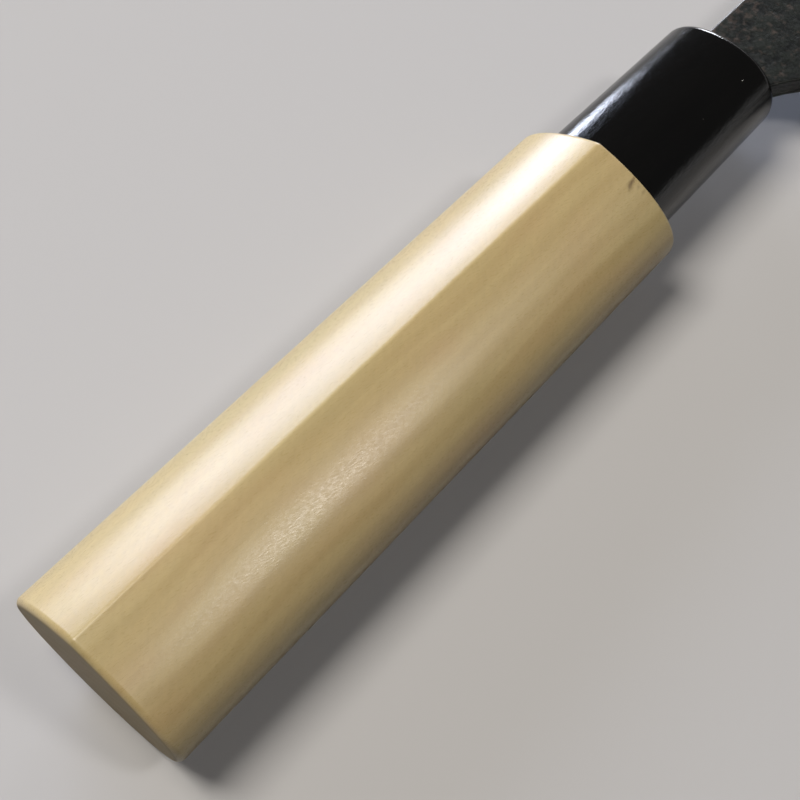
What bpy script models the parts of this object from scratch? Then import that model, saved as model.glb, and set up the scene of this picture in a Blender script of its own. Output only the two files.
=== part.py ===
"""Santoku kitchen knife with a D-shaped magnolia handle and a black horn ferrule.

The knife lies on its left side. +X runs along the handle's axis to the tip, +Y points to the spine and
+Z to the knife's right side, where the handle has its ridge. The origin is the middle of the butt.

The blade is a three-layer laminate: a hard steel core between two plates of soft iron. All three layers
run back as the tang, through the ferrule and into a slot burned into the wood.
"""

import math

import bmesh
import bpy
from mathutils import Vector
from mathutils.geometry import interpolate_bezier

# Handle: wood from the butt to its shoulder, in metres
WOOD_LENGTH = 0.095
BUTT_HEIGHT = 0.0283
SHOULDER_HEIGHT = 0.0268
LEFT_DEPTH = 0.0097
BUTT_RIDGE_DEPTH = 0.0113
SHOULDER_RIDGE_DEPTH = 0.0102
RIDGE_OFFSET = 0.0008
BUTT_EASE = 0.0009
SHOULDER_EASE = 0.0007

# Handle section: how the facets leave the ridge, in degrees, and how full the curves are
UPPER_FACET_SLOPE = 16.0
LOWER_FACET_SLOPE = 11.0
UPPER_FACET_REACH = 0.36
LOWER_FACET_REACH = 0.37
SPINE_SIDE_FULLNESS = 0.44
EDGE_SIDE_FULLNESS = 0.55
ROUND_FULLNESS = 0.5523
SECTION_STEPS = 14

# Tenon on the front of the wood, which the ferrule sleeves over
TENON_HEIGHT = 0.0150
TENON_DEPTH = 0.0106
TENON_LENGTH = 0.0220
TENON_EASE = 0.0008
OVAL_POWER = 2.2

# Ferrule
FERRULE_LENGTH = 0.0295
FERRULE_BACK_HEIGHT = 0.0200
FERRULE_BACK_DEPTH = 0.0163
FERRULE_FRONT_HEIGHT = 0.0192
FERRULE_FRONT_DEPTH = 0.0150
FERRULE_ROUNDING = 0.0014
OVAL_SIDES = 56

# Clearances
GLUE_GAP = 0.0003
BURNED_SLOT_GAP = 0.0004
SEAL_WALL = 0.0004

# Blade outline, seen from the side
SPINE_OFFSET = 0.0055
NECK_HEIGHT = 0.0126
BLADE_HEIGHT = 0.046
EDGE_LENGTH = 0.165
CHOIL_RADIUS = 0.020
CHOIL_START_SLOPE = 22.0
CHOIL_END_SLOPE = 80.0
CHOIL_STEPS = 14
FLAT_EDGE_LENGTH = 0.060
TIP_RISE = 0.0115
BELLY_POWER = 2.2
NOSE_LENGTH = 0.052
SPINE_DROP = 0.0010
NOSE_SHOULDER = 0.026
NOSE_CHIN = 0.022
NOSE_SLOPE = 54.0
NOSE_STEPS = 26

# Blade section
NECK_THICKNESS = 0.0032
TIP_THICKNESS = 0.0013
CORE_THICKNESS = 0.0008
BEVEL_HEIGHT = 0.018
EDGE_THICKNESS = 0.0002
EDGE_FACET_HEIGHT = 0.0005
GRIND_STEPS = 26

# Tang
TANG_LENGTH = 0.084
TANG_HEIGHT = 0.0108
TANG_END_HEIGHT = 0.0055
TANG_END_THICKNESS = 0.0020

# How far a cutter runs past what it cuts, and how near counts as the same place
OVERRUN = 0.004
SAME_PLACE = 1e-6

# Rounded corners: their profile, a quarter circle, and their steps
QUARTER_ROUND = 0.5
EASE_STEPS = 3
ROUNDING_STEPS = 4

# Angles in degrees past which a corner counts as a rim, and as sharp in the shading
RIM_ANGLE = 45.0
SHARP_ANGLE = 24.0

# Worked out from the sizes above
TANG_MIDDLE = SPINE_OFFSET - NECK_HEIGHT / 2
BORE_DEPTH = TENON_LENGTH + GLUE_GAP
FRONT_WALL = FERRULE_LENGTH - BORE_DEPTH
NECK_UNDERSIDE = SPINE_OFFSET - NECK_HEIGHT
EDGE_LINE = SPINE_OFFSET - BLADE_HEIGHT
FERRULE_FACE = WOOD_LENGTH + FERRULE_LENGTH


def linear(channel):
    """Turns one sRGB channel, 0 to 1, to linear light."""
    if channel <= 0.04045:
        return channel / 12.92
    return ((channel + 0.055) / 1.055) ** 2.4


def material(name, colour, roughness, metallic):
    """A plain Principled material from an sRGB hex colour."""
    made = bpy.data.materials.new(name)
    made.use_nodes = True
    shader = made.node_tree.nodes["Principled BSDF"]
    channels = [int(colour[i:i + 2], 16) / 255 for i in (0, 2, 4)]
    shader.inputs["Base Color"].default_value = [linear(c) for c in channels] + [1.0]
    shader.inputs["Roughness"].default_value = roughness
    shader.inputs["Metallic"].default_value = metallic
    made.diffuse_color = shader.inputs["Base Color"].default_value
    return made


def add_ring(form, points):
    """Adds the corners of a ring."""
    return [form.verts.new(point) for point in points]


def skin(form, back, front):
    """Joins two rings of equally many corners with a band of faces, and gives the faces."""
    return [form.faces.new((back[i - 1], back[i], front[i], front[i - 1])) for i in range(len(back))]


def face_outwards(form):
    """Turns all faces of a closed form to point out of it."""
    bmesh.ops.recalc_face_normals(form, faces=form.faces)
    if form.calc_volume(signed=True) < 0:
        bmesh.ops.reverse_faces(form, faces=form.faces)


def pull_out(form, faces, axis, place):
    """Extrudes faces square to an axis, 0 for X and 2 for Z, to a place on it."""
    grown = bmesh.ops.extrude_face_region(form, geom=faces)["geom"]
    for corner in grown:
        if isinstance(corner, bmesh.types.BMVert):
            corner.co[axis] = place
    face_outwards(form)


def loft(rings):
    """A closed form skinned over rings of equally many points, with flat ends."""
    form = bmesh.new()
    rows = [add_ring(form, ring) for ring in rings]
    for back, front in zip(rows, rows[1:]):
        skin(form, back, front)
    for end in (rows[0], rows[-1]):
        form.faces.new(end)
    face_outwards(form)
    return form


def extrude_outline(outline, low, high):
    """A plate of the outline's shape between two heights in Z."""
    form = bmesh.new()
    face = form.faces.new(add_ring(form, [Vector((x, y, low)) for x, y in outline]))
    pull_out(form, [face], 2, high)
    return form


def round_rim(form, x, radius, steps):
    """Rounds the outward corner that runs round the form in the plane at x."""
    rim = []
    for edge in form.edges:
        in_plane = all(abs(corner.co.x - x) < SAME_PLACE for corner in edge.verts)
        if in_plane and edge.calc_face_angle_signed() > math.radians(RIM_ANGLE):
            rim.append(edge)
    bmesh.ops.bevel(form, geom=rim, offset=radius, segments=steps, profile=QUARTER_ROUND, affect="EDGES")


def add_object(name, form, surface, place, parent):
    """Makes the object from its form, shades it and places it under its parent."""
    mesh = bpy.data.meshes.new(name)
    form.to_mesh(mesh)
    form.free()
    mesh.shade_smooth()
    mesh.set_sharp_from_angle(angle=math.radians(SHARP_ANGLE))
    if surface:
        mesh.materials.append(surface)
    made = bpy.data.objects.new(name, mesh)
    bpy.context.scene.collection.objects.link(made)
    made.location = place
    made.parent = parent
    return made


def add_cutter(name, form, place, parent):
    """A hidden solid that only shapes others."""
    cutter = add_object(name, form, None, place, parent)
    cutter.hide_render = True
    cutter.display_type = "WIRE"
    return cutter


def cut(target, cutter, operation="DIFFERENCE"):
    """Shapes the target with the cutter."""
    boolean = target.modifiers.new(cutter.name, "BOOLEAN")
    boolean.solver = "EXACT"
    boolean.operation = operation
    boolean.object = cutter


def bezier(start, start_handle, end_handle, end, steps):
    """Points along a flat cubic curve, without its last one."""
    knots = [Vector(knot).to_3d() for knot in (start, start_handle, end_handle, end)]
    points = interpolate_bezier(*knots, steps + 1)
    return [(point.x, point.y) for point in points[:-1]]


def handle_section(x, height, ridge_depth):
    """The D section: round on the left, and two shallow facets that meet in a ridge on the right."""
    half = height / 2
    upper = math.radians(UPPER_FACET_SLOPE)
    lower = math.radians(LOWER_FACET_SLOPE)
    upper_reach = UPPER_FACET_REACH * (half - RIDGE_OFFSET)
    lower_reach = LOWER_FACET_REACH * (half + RIDGE_OFFSET)
    spine_side = (half, 0)
    ridge = (RIDGE_OFFSET, ridge_depth)
    edge_side = (-half, 0)
    left_side = (0, -LEFT_DEPTH)
    before_ridge = (ridge[0] + upper_reach * math.cos(upper), ridge[1] - upper_reach * math.sin(upper))
    after_ridge = (ridge[0] - lower_reach * math.cos(lower), ridge[1] - lower_reach * math.sin(lower))
    down = ROUND_FULLNESS * LEFT_DEPTH
    across = ROUND_FULLNESS * half
    rim = bezier(spine_side, (half, SPINE_SIDE_FULLNESS * ridge_depth), before_ridge, ridge, SECTION_STEPS)
    rim += bezier(ridge, after_ridge, (-half, EDGE_SIDE_FULLNESS * ridge_depth), edge_side, SECTION_STEPS)
    rim += bezier(edge_side, (-half, -down), (-across, -LEFT_DEPTH), left_side, SECTION_STEPS)
    rim += bezier(left_side, (across, -LEFT_DEPTH), (half, -down), spine_side, SECTION_STEPS)
    return [Vector((x, y, z)) for y, z in rim]


def oval(x, height, depth, sides):
    """A slightly squared oval, as the ferrule and the tenon have."""
    points = []
    for i in range(sides):
        turn = 2 * math.pi * i / sides
        along_y = math.copysign(abs(math.cos(turn)) ** (2 / OVAL_POWER), math.cos(turn))
        along_z = math.copysign(abs(math.sin(turn)) ** (2 / OVAL_POWER), math.sin(turn))
        points.append(Vector((x, along_y * height / 2, along_z * depth / 2)))
    return points


def rectangle(x, middle, height, depth):
    """The corners of an upright rectangle at x, centred on the blade's plane."""
    top = middle + height / 2
    bottom = middle - height / 2
    return [Vector((x, y, z)) for y, z in ((top, -depth / 2), (top, depth / 2),
                                           (bottom, depth / 2), (bottom, -depth / 2))]


def edge_height(x, heel):
    """Where the cutting edge runs: straight from the heel, then a belly that rises to the tip."""
    belly = max(0.0, x - heel - FLAT_EDGE_LENGTH) / (EDGE_LENGTH - FLAT_EDGE_LENGTH)
    return EDGE_LINE + TIP_RISE * belly ** BELLY_POWER


def choil_curve():
    """From the neck's underside round to the straight drop of the choil."""
    start = math.radians(CHOIL_START_SLOPE)
    end = math.radians(CHOIL_END_SLOPE)
    centre_x = -CHOIL_RADIUS * math.sin(start)
    centre_y = NECK_UNDERSIDE - CHOIL_RADIUS * math.cos(start)
    points = []
    for i in range(CHOIL_STEPS + 1):
        turn = start + (end - start) * i / CHOIL_STEPS
        points.append((centre_x + CHOIL_RADIUS * math.sin(turn), centre_y + CHOIL_RADIUS * math.cos(turn)))
    return points


def choil_drop(y):
    """Where the straight part of the choil is at a height y."""
    last_x, last_y = choil_curve()[-1]
    return last_x + (last_y - y) / math.tan(math.radians(CHOIL_END_SLOPE))


def nose_curve(tip):
    """From the end of the straight spine, over the dropped nose, to the tip."""
    tip_y = EDGE_LINE + TIP_RISE
    start = (tip - NOSE_LENGTH, SPINE_OFFSET - SPINE_DROP)
    slope = math.radians(NOSE_SLOPE)
    before_tip = (tip - NOSE_CHIN * math.cos(slope), tip_y + NOSE_CHIN * math.sin(slope))
    after_start = (start[0] + NOSE_SHOULDER, start[1] - SPINE_DROP)
    return bezier(start, after_start, before_tip, (tip, tip_y), NOSE_STEPS) + [(tip, tip_y)]


def blade_outline(heel, tip):
    """The outline of every layer, from the tang's end round under the blade and back along the spine."""
    tang_top = TANG_MIDDLE + TANG_HEIGHT / 2
    tang_bottom = TANG_MIDDLE - TANG_HEIGHT / 2
    end_top = TANG_MIDDLE + TANG_END_HEIGHT / 2
    end_bottom = TANG_MIDDLE - TANG_END_HEIGHT / 2
    below = EDGE_LINE - OVERRUN
    slope = math.radians(NOSE_SLOPE)
    under_tip = tip + (EDGE_LINE + TIP_RISE - below) / math.tan(slope)
    outline = [(-TANG_LENGTH, end_bottom), (-FRONT_WALL, tang_bottom), (0, tang_bottom)]
    outline += choil_curve()
    outline += [(choil_drop(below), below), (under_tip, below)]
    outline += reversed(nose_curve(tip))
    outline += [(0, SPINE_OFFSET), (0, tang_top), (-FRONT_WALL, tang_top), (-TANG_LENGTH, end_top)]
    return outline


def thickness(x, tip):
    """The blade's thickness: most at the neck, thinning to the tip and to the tang's end."""
    if x > 0:
        return NECK_THICKNESS + (TIP_THICKNESS - NECK_THICKNESS) * x / tip
    if x > -FRONT_WALL:
        return NECK_THICKNESS
    share = (-FRONT_WALL - x) / (TANG_LENGTH - FRONT_WALL)
    return NECK_THICKNESS + (TANG_END_THICKNESS - NECK_THICKNESS) * share


def ground_section(x, heel, tip):
    """Across the blade: flat sides, the ground bevel, and the fine facet that carries the edge."""
    edge = edge_height(x, heel)
    flat = thickness(x, tip) / 2
    keen = EDGE_THICKNESS / 2
    above = SPINE_OFFSET + OVERRUN
    half = [(above, flat), (edge + BEVEL_HEIGHT, flat), (edge + EDGE_FACET_HEIGHT, keen)]
    other = [(y, -z) for y, z in reversed(half)]
    return [Vector((x, y, z)) for y, z in half + [(edge, 0)] + other]


def grinding_form(heel, tip):
    """A wedge, longer than the blade, whose sides are the ground faces of the blade."""
    stations = [-TANG_LENGTH - OVERRUN, -FRONT_WALL, 0, heel]
    for i in range(GRIND_STEPS + 1):
        stations.append(heel + FLAT_EDGE_LENGTH + (EDGE_LENGTH - FLAT_EDGE_LENGTH) * i / GRIND_STEPS)
    stations.append(tip + OVERRUN)
    return loft([ground_section(x, heel, tip) for x in stations])


def make_blade(blade):
    """The three layers of the laminate, forge-welded face to face."""
    heel = choil_drop(EDGE_LINE)
    tip = heel + EDGE_LENGTH
    core_face = CORE_THICKNESS / 2
    wedge = add_cutter("grinding_form", grinding_form(heel, tip), (0, 0, 0), blade)
    outline = blade_outline(heel, tip)
    steel = material("carbon_steel", "8d8f8e", 0.28, 1.0)
    iron = material("forge_scaled_iron", "30332f", 0.55, 0.6)
    layers = (("core_steel", -core_face, core_face, steel),
              ("right_cladding", core_face, NECK_THICKNESS, iron),
              ("left_cladding", -NECK_THICKNESS, -core_face, iron))
    for name, low, high, surface in layers:
        layer = add_object(name, extrude_outline(outline, low, high), surface, (0, 0, 0), blade)
        cut(layer, wedge, "INTERSECT")


def make_grip(knife):
    """The wooden grip with its tenon, and the tapered slot burned in for the tang."""
    wood = material("magnolia_wood", "d8c9a0", 0.5, 0.0)
    sides = 4 * SECTION_STEPS
    form = loft([handle_section(0, BUTT_HEIGHT, BUTT_RIDGE_DEPTH),
                 handle_section(WOOD_LENGTH, SHOULDER_HEIGHT, SHOULDER_RIDGE_DEPTH),
                 oval(WOOD_LENGTH, TENON_HEIGHT, TENON_DEPTH, sides),
                 oval(WOOD_LENGTH + TENON_LENGTH, TENON_HEIGHT, TENON_DEPTH, sides)])
    round_rim(form, 0, BUTT_EASE, EASE_STEPS)
    round_rim(form, WOOD_LENGTH, SHOULDER_EASE, EASE_STEPS)
    round_rim(form, WOOD_LENGTH + TENON_LENGTH, TENON_EASE, EASE_STEPS)
    grip = add_object("handle_grip", form, wood, (0, 0, 0), knife)
    cut(grip, add_cutter("tang_slot", burned_slot(), (FERRULE_FACE, 0, 0), knife))


def burned_slot():
    """The tang's own taper, with a gap all round, open at the tenon's end."""
    mouth = -FRONT_WALL + OVERRUN
    gap = 2 * BURNED_SLOT_GAP
    bottom = -TANG_LENGTH - BURNED_SLOT_GAP
    return loft([rectangle(bottom, TANG_MIDDLE, TANG_END_HEIGHT + gap, TANG_END_THICKNESS + gap),
                 rectangle(-FRONT_WALL, TANG_MIDDLE, TANG_HEIGHT + gap, NECK_THICKNESS + gap),
                 rectangle(mouth, TANG_MIDDLE, TANG_HEIGHT + gap, NECK_THICKNESS + gap)])


def make_ferrule(knife):
    """The horn ferrule: a tapered oval, bored from behind for the tenon and slotted for the tang."""
    horn = material("black_horn", "0b0b0d", 0.18, 0.0)
    form = loft([oval(0, FERRULE_BACK_HEIGHT, FERRULE_BACK_DEPTH, OVAL_SIDES),
                 oval(FERRULE_LENGTH, FERRULE_FRONT_HEIGHT, FERRULE_FRONT_DEPTH, OVAL_SIDES)])
    round_rim(form, FERRULE_LENGTH, FERRULE_ROUNDING, ROUNDING_STEPS)
    place = (WOOD_LENGTH, 0, 0)
    ferrule = add_object("ferrule", form, horn, place, knife)
    bore_height = TENON_HEIGHT + 2 * GLUE_GAP
    bore_width = TENON_DEPTH + 2 * GLUE_GAP
    bore = loft([oval(-OVERRUN, bore_height, bore_width, OVAL_SIDES),
                 oval(BORE_DEPTH, bore_height, bore_width, OVAL_SIDES)])
    slot_height = TANG_HEIGHT + 2 * SEAL_WALL
    slot_width = NECK_THICKNESS + 2 * SEAL_WALL
    slot = loft([rectangle(BORE_DEPTH - OVERRUN, TANG_MIDDLE, slot_height, slot_width),
                 rectangle(FERRULE_LENGTH + OVERRUN, TANG_MIDDLE, slot_height, slot_width)])
    cut(ferrule, add_cutter("tenon_bore", bore, place, knife))
    cut(ferrule, add_cutter("ferrule_slot", slot, place, knife))


def make_seal(blade):
    """The resin that fills the ferrule's slot round the tang."""
    resin = material("black_resin", "141312", 0.35, 0.0)
    form = bmesh.new()
    inner = add_ring(form, rectangle(-FRONT_WALL, TANG_MIDDLE, TANG_HEIGHT, NECK_THICKNESS))
    outer = add_ring(form, rectangle(-FRONT_WALL, TANG_MIDDLE, TANG_HEIGHT + 2 * SEAL_WALL,
                                     NECK_THICKNESS + 2 * SEAL_WALL))
    pull_out(form, skin(form, inner, outer), 0, 0)
    add_object("tang_seal", form, resin, (0, 0, 0), blade)


def add_empty(name, place, parent):
    """An empty that carries other objects."""
    empty = bpy.data.objects.new(name, None)
    bpy.context.scene.collection.objects.link(empty)
    empty.location = place
    empty.parent = parent
    return empty


def make_knife():
    """The whole knife, with the blade's pieces placed from the ferrule's front face."""
    knife = add_empty("knife", (0, 0, 0), None)
    blade = add_empty("blade", (FERRULE_FACE, 0, 0), knife)
    make_grip(knife)
    make_ferrule(knife)
    make_seal(blade)
    make_blade(blade)


for leftover in list(bpy.data.objects):
    bpy.data.objects.remove(leftover)

make_knife()
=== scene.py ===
"""Looks of a santoku knife: a D-shaped magnolia handle, a black horn ferrule and a forge-scaled blade."""

import math

import bmesh
import bpy
from mathutils import Matrix, Vector


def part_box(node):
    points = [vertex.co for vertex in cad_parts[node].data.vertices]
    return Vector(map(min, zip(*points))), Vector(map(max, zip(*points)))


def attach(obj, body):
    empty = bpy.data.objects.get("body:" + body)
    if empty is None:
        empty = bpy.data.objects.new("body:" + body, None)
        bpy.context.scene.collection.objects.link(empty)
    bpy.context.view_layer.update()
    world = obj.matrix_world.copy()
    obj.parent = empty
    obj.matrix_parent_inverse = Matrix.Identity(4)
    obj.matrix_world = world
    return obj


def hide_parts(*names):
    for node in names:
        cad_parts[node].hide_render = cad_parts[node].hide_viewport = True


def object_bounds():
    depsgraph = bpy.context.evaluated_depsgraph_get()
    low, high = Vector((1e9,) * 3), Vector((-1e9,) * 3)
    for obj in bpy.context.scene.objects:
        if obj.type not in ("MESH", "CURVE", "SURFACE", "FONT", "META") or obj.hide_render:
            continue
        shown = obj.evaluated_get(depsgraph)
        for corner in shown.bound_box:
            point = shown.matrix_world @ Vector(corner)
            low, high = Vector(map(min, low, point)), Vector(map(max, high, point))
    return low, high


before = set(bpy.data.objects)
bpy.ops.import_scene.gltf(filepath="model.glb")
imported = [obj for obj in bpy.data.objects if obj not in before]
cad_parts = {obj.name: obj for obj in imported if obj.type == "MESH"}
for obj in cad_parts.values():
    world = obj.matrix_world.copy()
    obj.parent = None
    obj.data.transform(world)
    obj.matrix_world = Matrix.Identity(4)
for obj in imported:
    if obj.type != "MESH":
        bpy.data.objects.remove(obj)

cad_low, cad_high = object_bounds()
MM = 0.001

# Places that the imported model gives
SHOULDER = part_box("ferrule")[0].x
FERRULE_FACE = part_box("ferrule")[1].x
CORE_LOW, CORE_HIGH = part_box("core_steel")

# Camera: where the photograph was taken from, in metres
CAMERA_PLACE = Vector((-0.0144, -0.0647, 0.1591))
CAMERA_FORWARD = Vector((0.3599, 0.3442, -0.8672))
CAMERA_RIGHT = Vector((0.6666, -0.7451, -0.0191))
CAMERA_CLIP_START = 0.01

# Camera: focal length and sensor, in millimetres
CAMERA_LENS = 63.96
SENSOR_WIDTH = 36.0

# Lamps: name, direction from the handle, distance, width, height, spread in degrees, power, colour.
# They are a wide cool one low on the spine's side, a narrow one that gives the ferrule its streak,
# a broad one overhead, a small one for the glints on the edge's side, and one ahead of the blade.
LAMP_TARGET = Vector((47.5 * MM, 0, 0))
LAMPS = (("key_lamp", (0.349, 0.907, 0.235), 2.4, 1.36, 1.20, 90, 8.7, "dae5ff"),
         ("side_lamp", (0.572, 0.810, 0.130), 2.4, 0.18, 0.50, 90, 1.35, "e6edff"),
         ("top_lamp", (-0.13, 0.37, 0.92), 1.6, 0.56, 0.80, 180, 17.4, "fff8ec"),
         ("glint_lamp", (0.28, -0.515, 0.81), 1.6, 0.22, 0.24, 180, 4.3, "fbf7f2"),
         ("front_lamp", (0.88, 0.46, 0.12), 1.6, 0.36, 0.30, 180, 7.5, "f4f8ff"))

# Surround: a pale wall that fades upwards into a dim room, the sine of the elevation where the fade
# ends, and the light that they spread
WALL_COLOUR = "f4f3f1"
WALL_STRENGTH = 0.52
ROOM_STRENGTH = 0.08
WALL_TOP = 0.22
AMBIENT_STRENGTH = 0.015

# Floor: its width in metres, its colour as seen, and the colour with which it throws light back up
FLOOR_WIDTH = 30.0
FLOOR_COLOUR = "cfcfd2"
FLOOR_BOUNCE_COLOUR = "3a3938"

# Floor: how far from the knife's middle it turns to the tone of the wall, in millimetres
KNIFE_MIDDLE = (150.0, 0.0, 0.0)
FADE_START = 300.0
FADE_END = 1100.0

# Handle section, as the CAD has it: height, then depth of the ridge on the right and of the round left
BUTT_HEIGHT = 28.3 * MM
SHOULDER_HEIGHT = 26.8 * MM
BUTT_RIDGE_DEPTH = 11.3 * MM
SHOULDER_RIDGE_DEPTH = 10.2 * MM
LEFT_DEPTH = 9.7 * MM
RIDGE_OFFSET = 0.8 * MM
UPPER_SLOPE = math.radians(16.0)
LOWER_SLOPE = math.radians(11.0)
UPPER_REACH = 0.36
LOWER_REACH = 0.37
SPINE_SIDE_FULLNESS = 0.44
EDGE_SIDE_FULLNESS = 0.55
CIRCLE_FULLNESS = 0.5523
SECTION_STEPS = 32

# Handle rims and the ridge, as they were eased with sandpaper
BUTT_EASE = 0.9 * MM
SHOULDER_EASE = 0.7 * MM
RIDGE_EASE = 0.22 * MM
EASE_STEPS = 6
RIDGE_STEPS = 4

# Tenon and tang slot, which stay hidden
TENON_HEIGHT = 15.0 * MM
TENON_DEPTH = 10.6 * MM
TENON_LENGTH = 22.0 * MM
TENON_EASE = 0.8 * MM
TANG_MIDDLE = -0.8 * MM
TANG_LENGTH = 84.0 * MM
TANG_HEIGHT = 10.8 * MM
TANG_END_HEIGHT = 5.5 * MM
TANG_END_THICKNESS = 2.0 * MM
NECK_THICKNESS = 3.2 * MM
BURNED_SLOT_GAP = 0.4 * MM

# Ferrule
FERRULE_BACK_HEIGHT = 20.0 * MM
FERRULE_BACK_DEPTH = 16.3 * MM
FERRULE_FRONT_HEIGHT = 19.2 * MM
FERRULE_FRONT_DEPTH = 15.0 * MM
FERRULE_ROUNDING = 1.4 * MM
FERRULE_BACK_EASE = 0.12 * MM
OVAL_FULLNESS = 0.6126
GLUE_GAP = 0.3 * MM
SEAL_WALL = 0.4 * MM
BORE_END = SHOULDER + TENON_LENGTH + GLUE_GAP
ROUNDING_STEPS = 9
BACK_EASE_STEPS = 2

# Blade: the straight part of its edge, the belly's rise, the ground bevel and the rubbed corners
TIP_THICKNESS = 1.3 * MM
TIP = CORE_HIGH.x
EDGE_LENGTH = 165.0 * MM
FLAT_EDGE_LENGTH = 60.0 * MM
HEEL = TIP - EDGE_LENGTH
TIP_RISE = 11.5 * MM
BELLY_POWER = 2.2
BEVEL_HEIGHT = 18.0 * MM
CORNER_EASE = 0.38 * MM
CORNER_STEPS = 4
CHOIL_TOP = -5.0 * MM

# How a face of the blade points: the least Z of a side and of a flat side, the most Z of a rim, and
# the most Y of a ground bevel
SIDE_LEAST_Z = 0.5
FLAT_LEAST_Z = 0.9
RIM_MOST_Z = 0.3
BEVEL_MOST_Y = -0.02

# Relief that the hammer and the scale leave: cell of the mesh, then the grain and depth of each
RELIEF_CELL = 0.5 * MM
HAMMER_GRAIN = 7.0 * MM
HAMMER_DEPTH = 0.07 * MM
SCALE_GRAIN = 1.1 * MM
SCALE_DEPTH = 0.05 * MM
OVERRUN = 2.0 * MM

# Flecks in the wood near the ferrule: X, Y, lean in degrees, length, width, and how dark up to one.
# All lie at one height on the knife's right side, and reach as far above as below it. Lengths are in mm.
FLECKS = ((93.7, -5.7, 19, 2.3, 0.72, 0.80),
          (93.2, -5.9, 19, 3.0, 1.30, 0.22),
          (94.0, -6.7, 25, 1.3, 0.65, 0.32),
          (94.0, -7.6, 15, 1.4, 0.65, 0.45))
FLECK_HEIGHT = 8.0
FLECK_REACH = 3.0

# How near counts as the same place, then the angles past which an edge is a rim, up to which it is
# shaded smooth, and up to which two faces count as one flat face
SAME_PLACE = 1e-6
RIM_ANGLE = math.radians(45.0)
SMOOTH_ANGLE = math.radians(32.0)
FLAT_ANGLE = math.radians(0.05)


def linear(hex_colour):
    """An sRGB hex colour as linear red, green, blue and alpha."""
    channels = []
    for i in (0, 2, 4):
        value = int(hex_colour[i:i + 2], 16) / 255
        channels.append(value / 12.92 if value <= 0.04045 else ((value + 0.055) / 1.055) ** 2.4)
    return (*channels, 1.0)


def add(tree, kind, inputs=None, **settings):
    """Adds a node with its settings. An input takes a value, or a node or socket to link from."""
    made = tree.nodes.new("ShaderNode" + kind)
    for name, value in settings.items():
        setattr(made, name, value)
    for name, value in (inputs or {}).items():
        if isinstance(value, bpy.types.Node):
            value = next(socket for socket in value.outputs if socket.enabled)
        if isinstance(value, bpy.types.NodeSocket):
            tree.links.new(value, made.inputs[name])
        else:
            made.inputs[name].default_value = value
    return made


def new_material(name):
    """An empty node material, its node tree, and the place on its piece in millimetres for patterns."""
    made = bpy.data.materials.new(name)
    made.use_nodes = True
    tree = made.node_tree
    tree.nodes.clear()
    place = add(tree, "TexCoord")
    place = add(tree, "VectorMath", {0: place.outputs["Object"], 1: (1000.0, 1000.0, 1000.0)},
                operation="MULTIPLY")
    return made, tree, place


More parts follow.
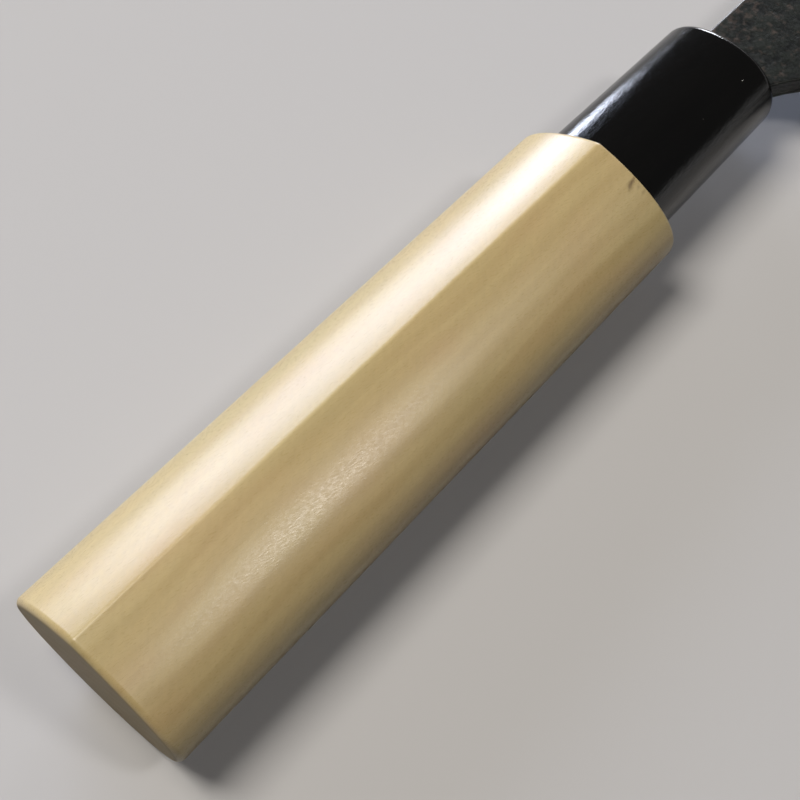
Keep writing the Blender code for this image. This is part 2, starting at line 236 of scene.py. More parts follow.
def magnolia():
    """Japanese magnolia, planed and sanded bare. It gives a pale cream with faint rings, fine straight
    fibres that break its sheen into short glints, and hardly visible pores. The end grain is darker."""
    made, tree, place = new_material("sanded_magnolia")

    # Slow swings of the grain, about 50 mm long and 2 mm deep
    swing = add(tree, "Mapping", {"Vector": place, "Scale": (0.02, 0.05, 0.05)})
    swing = add(tree, "TexNoise", {"Vector": swing, "Scale": 1.0, "Detail": 2.0})
    swing = add(tree, "VectorMath", {0: swing.outputs["Color"], 1: (0.5, 0.5, 0.5)}, operation="SUBTRACT")
    swing = add(tree, "VectorMath", {0: swing, 1: (0.0, 6.0, 6.0)}, operation="MULTIPLY")
    grown = add(tree, "VectorMath", {0: place, 1: swing}, operation="ADD")

    # Growth rings 2.4 mm apart, round a pith 70 mm away from the blank
    pith = add(tree, "Mapping", {"Vector": grown, "Location": (0.0, 42.0, 56.0)})
    rings = add(tree, "TexWave", {"Vector": pith, "Scale": 0.131, "Distortion": 0.0},
                wave_type="RINGS", rings_direction="X", wave_profile="SIN")
    late = add(tree, "MapRange", {"Value": rings, "From Min": 0.2, "From Max": 1.0, "To Max": 0.22},
               interpolation_type="SMOOTHSTEP")

    # Streaks 2 mm wide that run 55 mm along the grain, and blurred patches of grey green and of pink
    streaks = add(tree, "Mapping", {"Vector": grown, "Scale": (0.018, 0.5, 0.5)})
    streaks = add(tree, "TexNoise", {"Vector": streaks, "Scale": 1.0, "Detail": 3.0, "Roughness": 0.6})
    streaks = add(tree, "MapRange", {"Value": streaks, "From Min": 0.32, "From Max": 0.68})
    patches = add(tree, "Mapping", {"Vector": grown, "Location": (3.0, 1.0, 7.0),
                                    "Scale": (0.04, 0.12, 0.12)})
    patches = add(tree, "TexNoise", {"Vector": patches, "Scale": 1.0, "Detail": 2.0})
    greenish = add(tree, "MapRange", {"Value": patches, "From Min": 0.50, "From Max": 0.72, "To Max": 0.4})
    pinkish = add(tree, "MapRange", {"Value": patches, "From Min": 0.48, "From Max": 0.28, "To Max": 0.4})

    # Fibres 0.1 mm wide and 3 mm long, and pores as dashes 0.15 mm wide and 1 mm long. Real fibres are
    # 0.03 mm wide and real pores 0.08 mm, and both are drawn wider to show.
    fibres = add(tree, "Mapping", {"Vector": grown, "Scale": (0.35, 10.0, 10.0)})
    fibres = add(tree, "TexNoise", {"Vector": fibres, "Scale": 1.0, "Detail": 2.0, "Roughness": 0.6})
    pores = add(tree, "Mapping", {"Vector": grown, "Scale": (0.9, 6.5, 6.5)})
    pores = add(tree, "TexNoise", {"Vector": pores, "Scale": 1.0, "Detail": 1.0})
    pores = add(tree, "MapRange", {"Value": pores, "From Min": 0.64, "From Max": 0.74, "To Max": 0.04})

    # Figure of the rays: soft marks 2.5 mm long that lean 42 degrees across the grain
    figure = add(tree, "Mapping", {"Vector": place, "Rotation": (0.0, 0.0, math.radians(-42.0))})
    figure = add(tree, "Mapping", {"Vector": figure, "Scale": (0.4, 1.6, 1.6)})
    figure = add(tree, "TexNoise", {"Vector": figure, "Scale": 1.0, "Detail": 3.0, "Roughness": 0.6})

    # Glints of the sanded fibres: dashes 0.8 mm long, 12 degrees off the axis, and 0.12 mm wide, which
    # is wider than the real 0.03 mm to show
    glints = add(tree, "Mapping", {"Vector": place, "Rotation": (0.0, 0.0, math.radians(12.0))})
    glints = add(tree, "Mapping", {"Vector": glints, "Scale": (1.2, 8.0, 8.0)})
    glints = add(tree, "TexNoise", {"Vector": glints, "Scale": 1.0, "Detail": 2.0, "Roughness": 0.6})

    colour = add(tree, "Mix", {0: streaks, 6: linear("dac491"), 7: linear("cfb884")}, data_type="RGBA")
    colour = add(tree, "Mix", {0: late, 6: colour, 7: linear("b99e6a")}, data_type="RGBA")
    colour = add(tree, "Mix", {0: greenish, 6: colour, 7: linear("c5b786")}, data_type="RGBA")
    colour = add(tree, "Mix", {0: pinkish, 6: colour, 7: linear("d3b184")}, data_type="RGBA")
    shade = add(tree, "Math", {0: fibres, 1: 0.10, 2: 0.88}, operation="MULTIPLY_ADD")
    shade = add(tree, "Math", {0: figure, 1: 0.16, 2: shade}, operation="MULTIPLY_ADD")
    colour = add(tree, "VectorMath", {0: colour, "Scale": shade}, operation="SCALE")
    colour = add(tree, "Mix", {0: pores, 6: colour, 7: linear("8d7448")}, data_type="RGBA")

    # The dark flecks near the ferrule, with frayed rims
    for x, y, lean, length, width, darkness in FLECKS:
        spot = add(tree, "Mapping", {"Vector": place, "Location": (x, y, FLECK_HEIGHT),
                                     "Rotation": (0.0, 0.0, math.radians(lean)),
                                     "Scale": (length / 2, width / 2, FLECK_REACH)}, vector_type="TEXTURE")
        spot = add(tree, "VectorMath", {0: spot}, operation="LENGTH")
        spot = add(tree, "Math", {0: figure, 1: 1.2, 2: spot}, operation="MULTIPLY_ADD")
        spot = add(tree, "MapRange", {"Value": spot, "From Min": 1.7, "From Max": 0.6, "To Max": darkness},
                   interpolation_type="SMOOTHSTEP")
        colour = add(tree, "Mix", {0: spot, 6: colour, 7: linear("5c422a")}, data_type="RGBA")

    # The flat butt and shoulder show end grain, which drinks in more light
    facing = add(tree, "TexCoord")
    facing = add(tree, "SeparateXYZ", {0: facing.outputs["Normal"]})
    facing = add(tree, "Math", {0: facing.outputs["X"]}, operation="ABSOLUTE")
    end = add(tree, "MapRange", {"Value": facing, "From Min": 0.8, "From Max": 0.98, "To Max": 0.55})
    colour = add(tree, "Mix", {0: end, 6: colour, 7: linear("7c6a4b")}, data_type="RGBA")

    rough = add(tree, "MapRange", {"Value": glints, "From Min": 0.35, "From Max": 0.65, "To Min": 0.37,
                                   "To Max": 0.26})
    rough = add(tree, "Math", {0: end, 1: 0.5, 2: rough}, operation="MULTIPLY_ADD")
    height = add(tree, "Math", {0: fibres, 1: 0.12, 2: glints}, operation="MULTIPLY_ADD")
    height = add(tree, "Math", {0: pores, 1: -1.0, 2: height}, operation="MULTIPLY_ADD")
    bump = add(tree, "Bump", {"Height": height, "Strength": 0.5, "Distance": 0.016 * MM})
    shader = add(tree, "BsdfPrincipled", {"Base Color": colour, "Roughness": rough, "Normal": bump,
                                          "Specular IOR Level": 0.8})
    add(tree, "OutputMaterial", {"Surface": shader})
    return made


def horn():
    """Water buffalo horn, turned and buffed. It gives a deep black gloss whose grain, along the ferrule,
    frays the highlights, and a few pale specks of dust and pores."""
    made, tree, place = new_material("buffed_black_horn")

    # Grain 0.3 mm wide and 1 mm long, and waves 3 mm wide and 10 mm long that the buffing wheel leaves
    grain = add(tree, "Mapping", {"Vector": place, "Scale": (0.9, 3.2, 3.2)})
    grain = add(tree, "TexNoise", {"Vector": grain, "Scale": 1.0, "Detail": 4.0, "Roughness": 0.62})
    waves = add(tree, "Mapping", {"Vector": place, "Scale": (0.10, 0.35, 0.35)})
    waves = add(tree, "TexNoise", {"Vector": waves, "Scale": 1.0, "Detail": 2.0})

    # Specks up to 0.4 mm wide, in two of five cells that are 2.4 mm wide
    cells = add(tree, "TexVoronoi", {"Vector": place, "Scale": 0.42})
    speck = add(tree, "MapRange", {"Value": cells.outputs["Distance"], "From Min": 0.075,
                                   "From Max": 0.035})
    chance = add(tree, "SeparateColor", {0: cells.outputs["Color"]})
    chance = add(tree, "Math", {0: chance.outputs["Red"], 1: 0.4}, operation="LESS_THAN")
    speck = add(tree, "Math", {0: speck, 1: chance}, operation="MULTIPLY")

    colour = add(tree, "Mix", {0: waves, 6: linear("050506"), 7: linear("0b0a09")}, data_type="RGBA")
    colour = add(tree, "Mix", {0: speck, 6: colour, 7: linear("4a4a46")}, data_type="RGBA")
    rough = add(tree, "MapRange", {"Value": grain, "From Min": 0.3, "From Max": 0.75, "To Min": 0.07,
                                   "To Max": 0.17})
    height = add(tree, "Math", {0: waves, 1: 3.0, 2: grain}, operation="MULTIPLY_ADD")
    height = add(tree, "Math", {0: speck, 1: -0.8, 2: height}, operation="MULTIPLY_ADD")
    bump = add(tree, "Bump", {"Height": height, "Strength": 0.6, "Distance": 0.05 * MM})
    shader = add(tree, "BsdfPrincipled", {"Base Color": colour, "Roughness": rough, "Normal": bump,
                                          "IOR": 1.54})
    add(tree, "OutputMaterial", {"Surface": shader})
    return made


def forge_scale():
    """Black oxide scale that the forge leaves on soft iron. It gives a mottled satin grey green with
    fine grit and pits, and rusty pale blotches where it is rubbed, above all near the spine."""
    made, tree, place = new_material("forge_scale")

    # Mottling 2 mm wide, grit of 0.4 mm, and rubbed blotches 1.3 mm wide that thicken over 6 mm of height
    mottle = add(tree, "TexNoise", {"Vector": place, "Scale": 0.45, "Detail": 6.0, "Roughness": 0.62})
    mottle = add(tree, "MapRange", {"Value": mottle, "From Min": 0.34, "From Max": 0.66},
                 interpolation_type="SMOOTHSTEP")
    grit = add(tree, "TexNoise", {"Vector": place, "Scale": 2.4, "Detail": 3.0, "Roughness": 0.6})
    rubbed = add(tree, "TexNoise", {"Vector": place, "Scale": 0.75, "Detail": 3.0, "Roughness": 0.55})
    height = add(tree, "SeparateXYZ", {0: place})
    height = add(tree, "MapRange", {"Value": height.outputs["Y"], "From Min": 0.0, "From Max": 6.0,
                                    "To Max": 0.14})
    rubbed = add(tree, "Math", {0: rubbed, 1: height}, operation="ADD")
    rubbed = add(tree, "MapRange", {"Value": rubbed, "From Min": 0.52, "From Max": 0.82, "To Max": 0.6},
                 interpolation_type="SMOOTHSTEP")

    # Pits up to 0.9 mm wide, in three of ten cells that are 1.8 mm wide
    cells = add(tree, "TexVoronoi", {"Vector": place, "Scale": 0.55})
    pit = add(tree, "MapRange", {"Value": cells.outputs["Distance"], "From Min": 0.26, "From Max": 0.10},
              interpolation_type="SMOOTHSTEP")
    chance = add(tree, "SeparateColor", {0: cells.outputs["Color"]})
    chance = add(tree, "Math", {0: chance.outputs["Green"], 1: 0.3}, operation="LESS_THAN")
    pit = add(tree, "Math", {0: pit, 1: chance}, operation="MULTIPLY")

    colour = add(tree, "Mix", {0: mottle, 6: linear("0a0d0c"), 7: linear("232723")}, data_type="RGBA")
    gritty = add(tree, "MapRange", {"Value": grit, "From Min": 0.5, "From Max": 0.8, "To Max": 0.4})
    colour = add(tree, "Mix", {0: gritty, 6: colour, 7: linear("363734")}, data_type="RGBA")
    colour = add(tree, "Mix", {0: rubbed, 6: colour, 7: linear("64564f")}, data_type="RGBA")
    rough = add(tree, "MapRange", {"Value": grit, "From Min": 0.3, "From Max": 0.7, "To Min": 0.32,
                                   "To Max": 0.50})
    height = add(tree, "Math", {0: grit, 1: 0.5, 2: mottle}, operation="MULTIPLY_ADD")
    height = add(tree, "Math", {0: pit, 1: -0.8, 2: height}, operation="MULTIPLY_ADD")
    bump = add(tree, "Bump", {"Height": height, "Strength": 0.7, "Distance": 0.03 * MM})
    shader = add(tree, "BsdfPrincipled", {"Base Color": colour, "Roughness": rough, "Metallic": 0.2,
                                          "Specular IOR Level": 0.35, "Normal": bump})
    add(tree, "OutputMaterial", {"Surface": shader})
    return made


def ground_iron():
    """Soft iron, ground on a wet stone wheel and misted with fine stone. It gives a hazy, clouded grey
    with faint lines from the wheel across the edge."""
    made, tree, place = new_material("stone_ground_iron")

    # Lines of the wheel 0.2 mm apart, wider than the real 0.05 mm to show, and clouds 3.5 mm wide
    lines = add(tree, "Mapping", {"Vector": place, "Rotation": (0.0, 0.0, math.radians(8.0))})
    lines = add(tree, "Mapping", {"Vector": lines, "Scale": (5.0, 0.12, 0.12)})
    lines = add(tree, "TexNoise", {"Vector": lines, "Scale": 1.0, "Detail": 3.0, "Roughness": 0.7})
    clouds = add(tree, "TexNoise", {"Vector": place, "Scale": 0.28, "Detail": 4.0, "Roughness": 0.6})
    clouds = add(tree, "MapRange", {"Value": clouds, "From Min": 0.35, "From Max": 0.65},
                 interpolation_type="SMOOTHSTEP")

    colour = add(tree, "Mix", {0: clouds, 6: linear("8b8c8a"), 7: linear("a5a5a1")}, data_type="RGBA")
    rough = add(tree, "Math", {0: clouds, 1: 0.10, 2: 0.36}, operation="MULTIPLY_ADD")
    rough = add(tree, "Math", {0: lines, 1: 0.12, 2: rough}, operation="MULTIPLY_ADD")
    bump = add(tree, "Bump", {"Height": lines, "Strength": 0.5, "Distance": 0.006 * MM})
    shader = add(tree, "BsdfPrincipled", {"Base Color": colour, "Roughness": rough, "Metallic": 1.0,
                                          "Normal": bump})
    add(tree, "OutputMaterial", {"Surface": shader})
    return made


def honed_steel():
    """Carbon steel, honed along the edge. It gives a brighter and sharper gloss than the iron beside it,
    with hairlines along the blade."""
    made, tree, place = new_material("honed_carbon_steel")

    # Hairlines 17 mm long and 0.15 mm wide, wider than the real 0.01 mm to show
    hairs = add(tree, "Mapping", {"Vector": place, "Rotation": (0.0, 0.0, math.radians(-2.0))})
    hairs = add(tree, "Mapping", {"Vector": hairs, "Scale": (0.06, 7.0, 7.0)})
    hairs = add(tree, "TexNoise", {"Vector": hairs, "Scale": 1.0, "Detail": 3.0, "Roughness": 0.7})

    colour = add(tree, "Mix", {0: hairs, 6: linear("adaeac"), 7: linear("c3c3c0")}, data_type="RGBA")
    rough = add(tree, "MapRange", {"Value": hairs, "From Min": 0.3, "From Max": 0.7, "To Min": 0.16,
                                   "To Max": 0.30})
    bump = add(tree, "Bump", {"Height": hairs, "Strength": 0.4, "Distance": 0.003 * MM})
    shader = add(tree, "BsdfPrincipled", {"Base Color": colour, "Roughness": rough, "Metallic": 1.0,
                                          "Normal": bump})
    add(tree, "OutputMaterial", {"Surface": shader})
    return made


def resin():
    """Black casting resin, pressed in by hand and wiped. It gives an uneven satin black."""
    made, tree, place = new_material("wiped_black_resin")

    # Ripples 0.6 mm wide
    ripples = add(tree, "TexNoise", {"Vector": place, "Scale": 1.6, "Detail": 3.0, "Roughness": 0.6})

    colour = add(tree, "Mix", {0: ripples, 6: linear("0c0b0b"), 7: linear("1b1917")}, data_type="RGBA")
    rough = add(tree, "MapRange", {"Value": ripples, "From Min": 0.3, "From Max": 0.7, "To Min": 0.28,
                                   "To Max": 0.5})
    bump = add(tree, "Bump", {"Height": ripples, "Strength": 0.6, "Distance": 0.03 * MM})
    shader = add(tree, "BsdfPrincipled", {"Base Color": colour, "Roughness": rough, "Normal": bump})
    add(tree, "OutputMaterial", {"Surface": shader})
    return made


def make_camera():
    """The camera, at the photograph's place and angle."""
    data = bpy.data.cameras.new("camera")
    data.sensor_width = SENSOR_WIDTH
    data.lens = CAMERA_LENS
    data.clip_start = CAMERA_CLIP_START
    camera = bpy.data.objects.new("camera", data)
    bpy.context.scene.collection.objects.link(camera)
    back = -CAMERA_FORWARD.normalized()
    right = CAMERA_RIGHT.normalized()
    up = back.cross(right)
    turn = Matrix((right, up, back)).transposed().to_4x4()
    camera.matrix_world = Matrix.Translation(CAMERA_PLACE) @ turn
    bpy.context.scene.camera = camera


def make_lamps():
    """The soft lamps, which face the handle."""
    for name, direction, distance, width, height, spread, power, colour in LAMPS:
        data = bpy.data.lights.new(name, "AREA")
        data.shape = "RECTANGLE"
        data.size = width
        data.size_y = height
        data.spread = math.radians(spread)
        data.energy = power
        data.color = linear(colour)[:3]
        lamp = bpy.data.objects.new(name, data)
        bpy.context.scene.collection.objects.link(lamp)
        away = Vector(direction).normalized()
        lamp.location = LAMP_TARGET + away * distance
        lamp.rotation_euler = away.to_track_quat("Z", "Y").to_euler()


def seen_directly(tree):
    """One for what the camera sees directly, or in gloss or glass, and nothing for light that is spread."""
    path = add(tree, "LightPath")
    seen = add(tree, "Math", {0: path.outputs["Is Camera Ray"], 1: path.outputs["Is Glossy Ray"]},
               operation="MAXIMUM")
    return add(tree, "Math", {0: seen, 1: path.outputs["Is Transmission Ray"]}, operation="MAXIMUM")


def make_world():
    """An even surround. What the camera and gloss see of it is a low pale wall in a dim room."""
    world = bpy.data.worlds.new("surround")
    bpy.context.scene.world = world
    world.use_nodes = True
    tree = world.node_tree
    tree.nodes.clear()
    place = add(tree, "TexCoord")
    height = add(tree, "SeparateXYZ", {0: place.outputs["Generated"]})
    strength = add(tree, "MapRange", {"Value": height.outputs["Z"], "From Min": 0.0, "From Max": WALL_TOP,
                                      "To Min": WALL_STRENGTH, "To Max": ROOM_STRENGTH},
                   interpolation_type="SMOOTHSTEP")
    ambient = add(tree, "Background", {"Color": linear("ffffff"), "Strength": AMBIENT_STRENGTH})
    shown = add(tree, "Background", {"Color": linear(WALL_COLOUR), "Strength": strength})
    mixed = add(tree, "MixShader", {0: seen_directly(tree), 1: ambient, 2: shown})
    add(tree, "OutputWorld", {"Surface": mixed})


def make_floor():
    """The pale painted table. Away from the knife, what is seen of it turns to the tone of the wall.
    It throws little light back up, because the photographed knife has nothing pale beside it."""
    bpy.ops.mesh.primitive_plane_add(size=FLOOR_WIDTH, location=(0, 0, cad_low.z))
    floor = bpy.context.object
    floor.name = "floor"
    paint, tree, place = new_material("pale_matt_paint")
    seen = seen_directly(tree)
    away = add(tree, "VectorMath", {0: place, 1: KNIFE_MIDDLE}, operation="DISTANCE")
    far = add(tree, "MapRange", {"Value": away, "From Min": FADE_START, "From Max": FADE_END},
              interpolation_type="SMOOTHSTEP")
    far = add(tree, "Math", {0: far, 1: seen}, operation="MULTIPLY")
    colour = add(tree, "Mix", {0: seen, 6: linear(FLOOR_BOUNCE_COLOUR), 7: linear(FLOOR_COLOUR)},
                 data_type="RGBA")
    near_look = add(tree, "BsdfDiffuse", {"Color": colour})
    far_look = add(tree, "Emission", {"Color": linear(WALL_COLOUR), "Strength": WALL_STRENGTH})
    mixed = add(tree, "MixShader", {0: far, 1: near_look, 2: far_look})
    add(tree, "OutputMaterial", {"Surface": mixed})
    floor.data.materials.append(paint)


def choose(piece):
    """Makes the piece the only selected object, and the active one."""
    bpy.ops.object.select_all(action="DESELECT")
    piece.select_set(True)
    bpy.context.view_layer.objects.active = piece


def pick_edges(piece, test):
    """Opens the piece in edit mode with only the edges selected that pass the test."""
    choose(piece)
    bpy.ops.object.mode_set(mode="EDIT")
    bpy.ops.mesh.select_mode(type="EDGE")
    bpy.ops.mesh.select_all(action="DESELECT")
    form = bmesh.from_edit_mesh(piece.data)
    form.normal_update()
    for edge in form.edges:
        edge.select = test(edge)
    form.select_flush_mode()
    bmesh.update_edit_mesh(piece.data)


def round_edges(piece, test, width, steps, material=-1):
    """Rounds the edges that pass the test, and may give the new faces a material of their own."""
    pick_edges(piece, test)
    bpy.ops.mesh.bevel(offset=width, segments=steps, profile=0.5, affect="EDGES", material=material)
    bpy.ops.object.mode_set(mode="OBJECT")


def rim_at(x):
    """A test for the outward rim in the plane at x."""
    def test(edge):
        in_plane = all(abs(corner.co.x - x) < SAME_PLACE for corner in edge.verts)
        return in_plane and edge.calc_face_angle_signed() > RIM_ANGLE
    return test


def face_outwards():
    """In edit mode, turns all faces to point out of the solid."""
    bpy.ops.mesh.select_all(action="SELECT")
    bpy.ops.mesh.normals_make_consistent(inside=False)


def ring(x, knots):
    """A closed curve across the handle at x, as a mesh. A knot is its place between its two handles."""
    bpy.ops.curve.primitive_bezier_circle_add(radius=LEFT_DEPTH)
    made = bpy.context.object
    made.data.resolution_u = SECTION_STEPS
    for point, (before, place, after) in zip(made.data.splines[0].bezier_points, knots):
        point.handle_left_type = "FREE"
        point.handle_right_type = "FREE"
        point.handle_left = (x, *before)
        point.co = (x, *place)
        point.handle_right = (x, *after)
    choose(made)
    bpy.ops.object.convert(target="MESH")
    return bpy.context.object


def loft(name, back, front):
    """A closed solid skinned from a ring to another, with flat ends."""
    choose(back)
    front.select_set(True)
    bpy.ops.object.join()
    made = bpy.context.object
    made.name = name
    bpy.ops.object.mode_set(mode="EDIT")
    bpy.ops.mesh.select_all(action="SELECT")
    bpy.ops.mesh.remove_doubles(threshold=SAME_PLACE)
    bpy.ops.mesh.bridge_edge_loops()
    bpy.ops.mesh.select_all(action="SELECT")
    bpy.ops.mesh.fill_holes(sides=0)
    face_outwards()
    bpy.ops.object.mode_set(mode="OBJECT")
    return made


def apply_modifier(piece, kind, **settings):
    """Adds a modifier to the piece and applies it."""
    choose(piece)
    bpy.ops.object.modifier_add(type=kind)
    change = piece.modifiers[-1]
    for name, value in settings.items():
        setattr(change, name, value)
    bpy.ops.object.modifier_apply(modifier=change.name)


def boolean(piece, tool, operation):
    """Joins, cuts or trims the piece with the tool, which is used up."""
    apply_modifier(piece, "BOOLEAN", operation=operation, solver="EXACT", object=tool)
    bpy.data.objects.remove(tool)


def finish_piece(piece, node):
    """Shades the piece smooth between its corners and lets it stand for its node."""
    choose(piece)
    bpy.ops.object.shade_smooth_by_angle(angle=SMOOTH_ANGLE)
    apply_modifier(piece, "WEIGHTED_NORMAL", keep_sharp=True)
    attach(piece, "root")
    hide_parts(node)


def handle_ring(x, height, ridge_depth):
    """The D section: two shallow facets that meet in a ridge on the right, and a round left."""
    half = height / 2
    above = UPPER_REACH * (half - RIDGE_OFFSET)
    below = LOWER_REACH * (half + RIDGE_OFFSET)
    before_ridge = (RIDGE_OFFSET + above * math.cos(UPPER_SLOPE),
                    ridge_depth - above * math.sin(UPPER_SLOPE))
    after_ridge = (RIDGE_OFFSET - below * math.cos(LOWER_SLOPE),
                   ridge_depth - below * math.sin(LOWER_SLOPE))
    down = CIRCLE_FULLNESS * LEFT_DEPTH
    across = CIRCLE_FULLNESS * half
    return ring(x, (((half, -down), (half, 0), (half, SPINE_SIDE_FULLNESS * ridge_depth)),
                    (before_ridge, (RIDGE_OFFSET, ridge_depth), after_ridge),
                    ((-half, EDGE_SIDE_FULLNESS * ridge_depth), (-half, 0), (-half, -down)),
                    ((-across, -LEFT_DEPTH), (0, -LEFT_DEPTH), (across, -LEFT_DEPTH))))


def oval_ring(x, height, depth):
    """A slightly squared oval."""
    half = height / 2
    side = depth / 2
    across = OVAL_FULLNESS * half
    down = OVAL_FULLNESS * side
    return ring(x, (((half, -down), (half, 0), (half, down)),
                    ((across, side), (0, side), (-across, side)),
                    ((-half, down), (-half, 0), (-half, -down)),
                    ((-across, -side), (0, -side), (across, -side))))


def flat_ring(x, height, depth):
    """A rectangle across the tang's middle line."""
    bpy.ops.mesh.primitive_plane_add(size=1, location=(x, TANG_MIDDLE, 0),
                                     rotation=(0, math.radians(90), 0))
    made = bpy.context.object
    made.scale = (depth, height, 1)
    choose(made)
    bpy.ops.object.transform_apply(location=True, rotation=True, scale=True)
    bpy.ops.object.mode_set(mode="EDIT")
    bpy.ops.mesh.select_all(action="SELECT")
    bpy.ops.mesh.delete(type="ONLY_FACE")
    bpy.ops.object.mode_set(mode="OBJECT")
    return made


def make_grip():
    """The grip: the lofted D section with eased rims and ridge, its tenon, and the slot for the tang."""
    grip = loft("magnolia_grip", handle_ring(0, BUTT_HEIGHT, BUTT_RIDGE_DEPTH),
                handle_ring(SHOULDER, SHOULDER_HEIGHT, SHOULDER_RIDGE_DEPTH))

    def is_ridge(edge):
        along = abs(edge.verts[0].co.x - edge.verts[1].co.x) > SHOULDER / 2
        return along and all(abs(corner.co.y - RIDGE_OFFSET) < SAME_PLACE and corner.co.z > 0
                             for corner in edge.verts)

    round_edges(grip, is_ridge, RIDGE_EASE, RIDGE_STEPS)
    round_edges(grip, rim_at(0), BUTT_EASE, EASE_STEPS)
    round_edges(grip, rim_at(SHOULDER), SHOULDER_EASE, EASE_STEPS)
    tenon_end = SHOULDER + TENON_LENGTH
    tenon = loft("tenon", oval_ring(SHOULDER - OVERRUN, TENON_HEIGHT, TENON_DEPTH),
                 oval_ring(tenon_end, TENON_HEIGHT, TENON_DEPTH))
    round_edges(tenon, rim_at(tenon_end), TENON_EASE, EASE_STEPS)
    boolean(grip, tenon, "UNION")
    gap = 2 * BURNED_SLOT_GAP
    slot_bottom = FERRULE_FACE - TANG_LENGTH - BURNED_SLOT_GAP
    slot = loft("tang_slot", flat_ring(slot_bottom, TANG_END_HEIGHT + gap, TANG_END_THICKNESS + gap),
                flat_ring(BORE_END, TANG_HEIGHT + gap, NECK_THICKNESS + gap))
    boolean(grip, slot, "DIFFERENCE")
    grip.data.materials.append(magnolia())
    finish_piece(grip, "handle_grip")


def make_ferrule():
    """The ferrule: a tapered oval with a rounded front, bored for the tenon and slotted for the tang."""
    ferrule = loft("horn_ferrule", oval_ring(SHOULDER, FERRULE_BACK_HEIGHT, FERRULE_BACK_DEPTH),
                   oval_ring(FERRULE_FACE, FERRULE_FRONT_HEIGHT, FERRULE_FRONT_DEPTH))
    round_edges(ferrule, rim_at(FERRULE_FACE), FERRULE_ROUNDING, ROUNDING_STEPS)
    round_edges(ferrule, rim_at(SHOULDER), FERRULE_BACK_EASE, BACK_EASE_STEPS)
    bore_height = TENON_HEIGHT + 2 * GLUE_GAP
    bore_depth = TENON_DEPTH + 2 * GLUE_GAP
    boolean(ferrule, loft("bore", oval_ring(SHOULDER - OVERRUN, bore_height, bore_depth),
                          oval_ring(BORE_END, bore_height, bore_depth)), "DIFFERENCE")
    slot_height = TANG_HEIGHT + 2 * SEAL_WALL
    slot_depth = NECK_THICKNESS + 2 * SEAL_WALL
    boolean(ferrule, loft("slot", flat_ring(BORE_END - OVERRUN, slot_height, slot_depth),
                          flat_ring(FERRULE_FACE + OVERRUN, slot_height, slot_depth)), "DIFFERENCE")
    ferrule.data.materials.append(horn())
    finish_piece(ferrule, "ferrule")


def merged_copy(node, name):
    """A clean copy of a packed plate: its loose triangles merged, and flat areas made one face."""
    copy = bpy.data.objects.new(name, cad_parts[node].data.copy())
    bpy.context.scene.collection.objects.link(copy)
    copy.data.materials.clear()
    choose(copy)
    bpy.ops.object.mode_set(mode="EDIT")
    bpy.ops.mesh.select_all(action="SELECT")
    bpy.ops.mesh.remove_doubles(threshold=SAME_PLACE)
    bpy.ops.mesh.select_all(action="SELECT")
    bpy.ops.mesh.dissolve_limited(angle_limit=FLAT_ANGLE)
    bpy.ops.object.mode_set(mode="OBJECT")
    return copy


def edge_height(x):
    """Height of the cutting edge at x: straight from the heel, then the belly's rise to the tip."""
    share = max(0.0, x - HEEL - FLAT_EDGE_LENGTH) / (TIP - HEEL - FLAT_EDGE_LENGTH)
    return CORE_LOW.y + TIP_RISE * share ** BELLY_POWER


def is_ground(face):
    """Whether a face of the blade is part of the ground bevel."""
    middle = face.calc_center_median()
    leans = abs(face.normal.z) > SIDE_LEAST_Z and face.normal.y < BEVEL_MOST_Y
    return leans and middle.y < edge_height(middle.x) + BEVEL_HEIGHT


def is_outer_corner(edge):
    """Whether an edge is where a flat side of the blade meets its spine, neck or choil."""
    if len(edge.link_faces) != 2:
        return False
    rim_z, side_z = sorted(abs(face.normal.z) for face in edge.link_faces)
    outside = all(abs(corner.co.z) > CORE_HIGH.z + SAME_PLACE for corner in edge.verts)
    above = all(corner.co.y > edge_height(corner.co.x) + BEVEL_HEIGHT for corner in edge.verts)
    ahead = all(corner.co.x > FERRULE_FACE - SAME_PLACE for corner in edge.verts)
    return rim_z < RIM_MOST_Z and side_z > FLAT_LEAST_Z and outside and above and ahead


def is_upper(edge):
    """Whether an edge lies along the spine or nose, and not along the neck's lower side or the choil."""
    return any(corner.co.y > CHOIL_TOP or corner.co.x > HEEL + FLAT_EDGE_LENGTH for corner in edge.verts)


def is_rubbed_corner(edge):
    """Whether an edge is an outer corner that hands and cloths rub bare, along the spine and the nose."""
    return is_outer_corner(edge) and is_upper(edge)


def is_scaled_corner(edge):
    """Whether an edge is an outer corner that keeps its scale, under the neck and along the choil."""
    return is_outer_corner(edge) and not is_upper(edge)


def assign_faces(piece, materials, test):
    """Gives the second material to the faces that pass the test, and the first to the others."""
    for one in materials:
        piece.data.materials.append(one)
    form = bmesh.new()
    form.from_mesh(piece.data)
    form.normal_update()
    for face in form.faces:
        face.material_index = int(test(face))
    form.to_mesh(piece.data)
    form.free()


def displace(piece, grain, depth):
    """Pushes the piece's faces along Z by a cloudy texture, from nothing to the whole depth."""
    clouds = bpy.data.textures.new(piece.name, "CLOUDS")
    clouds.noise_scale = grain
    clouds.noise_depth = 2
    apply_modifier(piece, "DISPLACE", texture=clouds, texture_coords="LOCAL", direction="Z", mid_level=0.0,
                   strength=depth)


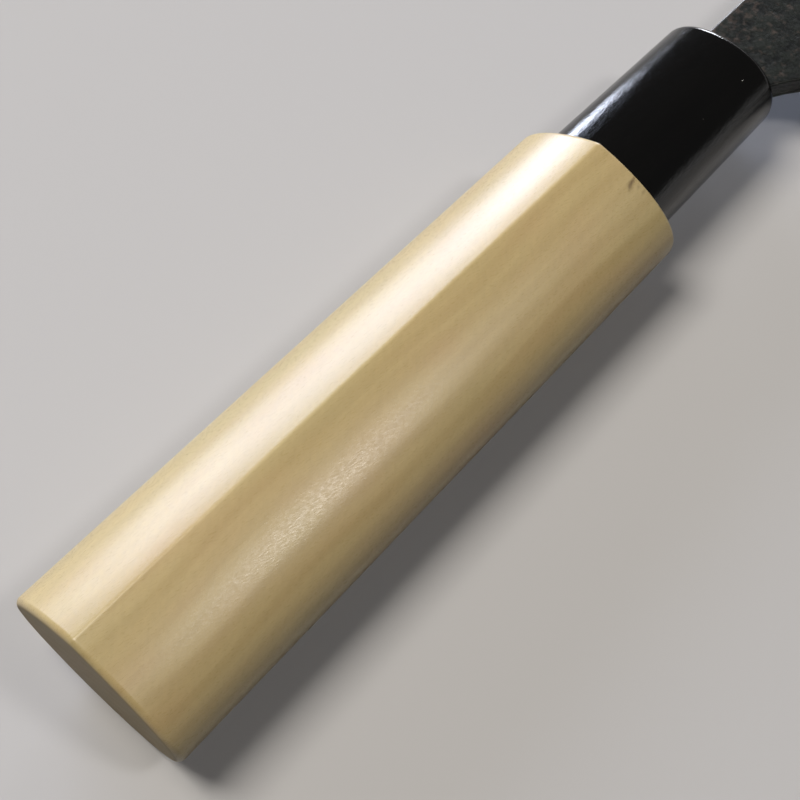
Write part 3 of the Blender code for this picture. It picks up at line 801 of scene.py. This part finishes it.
def scale_cutter(side):
    """A slab with a hammered and scaly inner face, which takes a thin skin off one flat side."""
    start = FERRULE_FACE - OVERRUN / 2
    end = TIP + OVERRUN
    bottom = CORE_LOW.y + BEVEL_HEIGHT - OVERRUN
    top = CORE_HIGH.y + OVERRUN
    middle = (start + end) / 2
    slope = (NECK_THICKNESS - TIP_THICKNESS) / 2 / (TIP - FERRULE_FACE)
    height = NECK_THICKNESS / 2 - slope * (middle - FERRULE_FACE)
    bpy.ops.mesh.primitive_grid_add(x_subdivisions=round((end - start) / RELIEF_CELL),
                                    y_subdivisions=round((top - bottom) / RELIEF_CELL), size=1,
                                    location=(middle, (top + bottom) / 2, side * height),
                                    rotation=(0, side * math.atan(slope), 0))
    cutter = bpy.context.object
    cutter.name = "scale_cutter"
    cutter.scale = (end - start, top - bottom, 1)
    choose(cutter)
    bpy.ops.object.transform_apply(location=True, rotation=True, scale=True)
    displace(cutter, HAMMER_GRAIN, -side * HAMMER_DEPTH)
    displace(cutter, SCALE_GRAIN, -side * SCALE_DEPTH)
    bpy.ops.object.mode_set(mode="EDIT")
    bpy.ops.mesh.select_all(action="SELECT")
    bpy.ops.mesh.extrude_region_move(TRANSFORM_OT_translate={"value": (0, 0, side * OVERRUN)})
    face_outwards()
    bpy.ops.object.mode_set(mode="OBJECT")
    return cutter


def make_cladding(side, node, materials):
    """An outer plate of the laminate. Its materials are forge scale for its flat side, and bare iron for
    its ground bevel and its rubbed corners."""
    plate = merged_copy(node, node + "_forged")
    assign_faces(plate, materials, is_ground)
    round_edges(plate, is_rubbed_corner, CORNER_EASE, CORNER_STEPS, material=1)
    round_edges(plate, is_scaled_corner, CORNER_EASE, CORNER_STEPS)
    boolean(plate, scale_cutter(side), "DIFFERENCE")
    finish_piece(plate, node)


def make_core(materials):
    """The steel core. Its materials are forge scale for its rim, which shows in the spine, and bare steel
    for its sides, which show at the edge."""
    core = merged_copy("core_steel", "core_steel_honed")
    assign_faces(core, materials, lambda face: abs(face.normal.z) > SIDE_LEAST_Z)
    finish_piece(core, "core_steel")


def make_blade():
    """The three layers of the blade, and the resin round its tang."""
    scale = forge_scale()
    iron = ground_iron()
    make_cladding(1, "right_cladding", (scale, iron))
    make_cladding(-1, "left_cladding", (scale, iron))
    make_core((scale, honed_steel()))
    filling = resin()
    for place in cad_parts["tang_seal"].material_slots:
        place.material = filling


make_camera()
make_lamps()
make_world()
make_floor()
make_grip()
make_ferrule()
make_blade()
bpy.context.scene.view_settings.view_transform = "Standard"
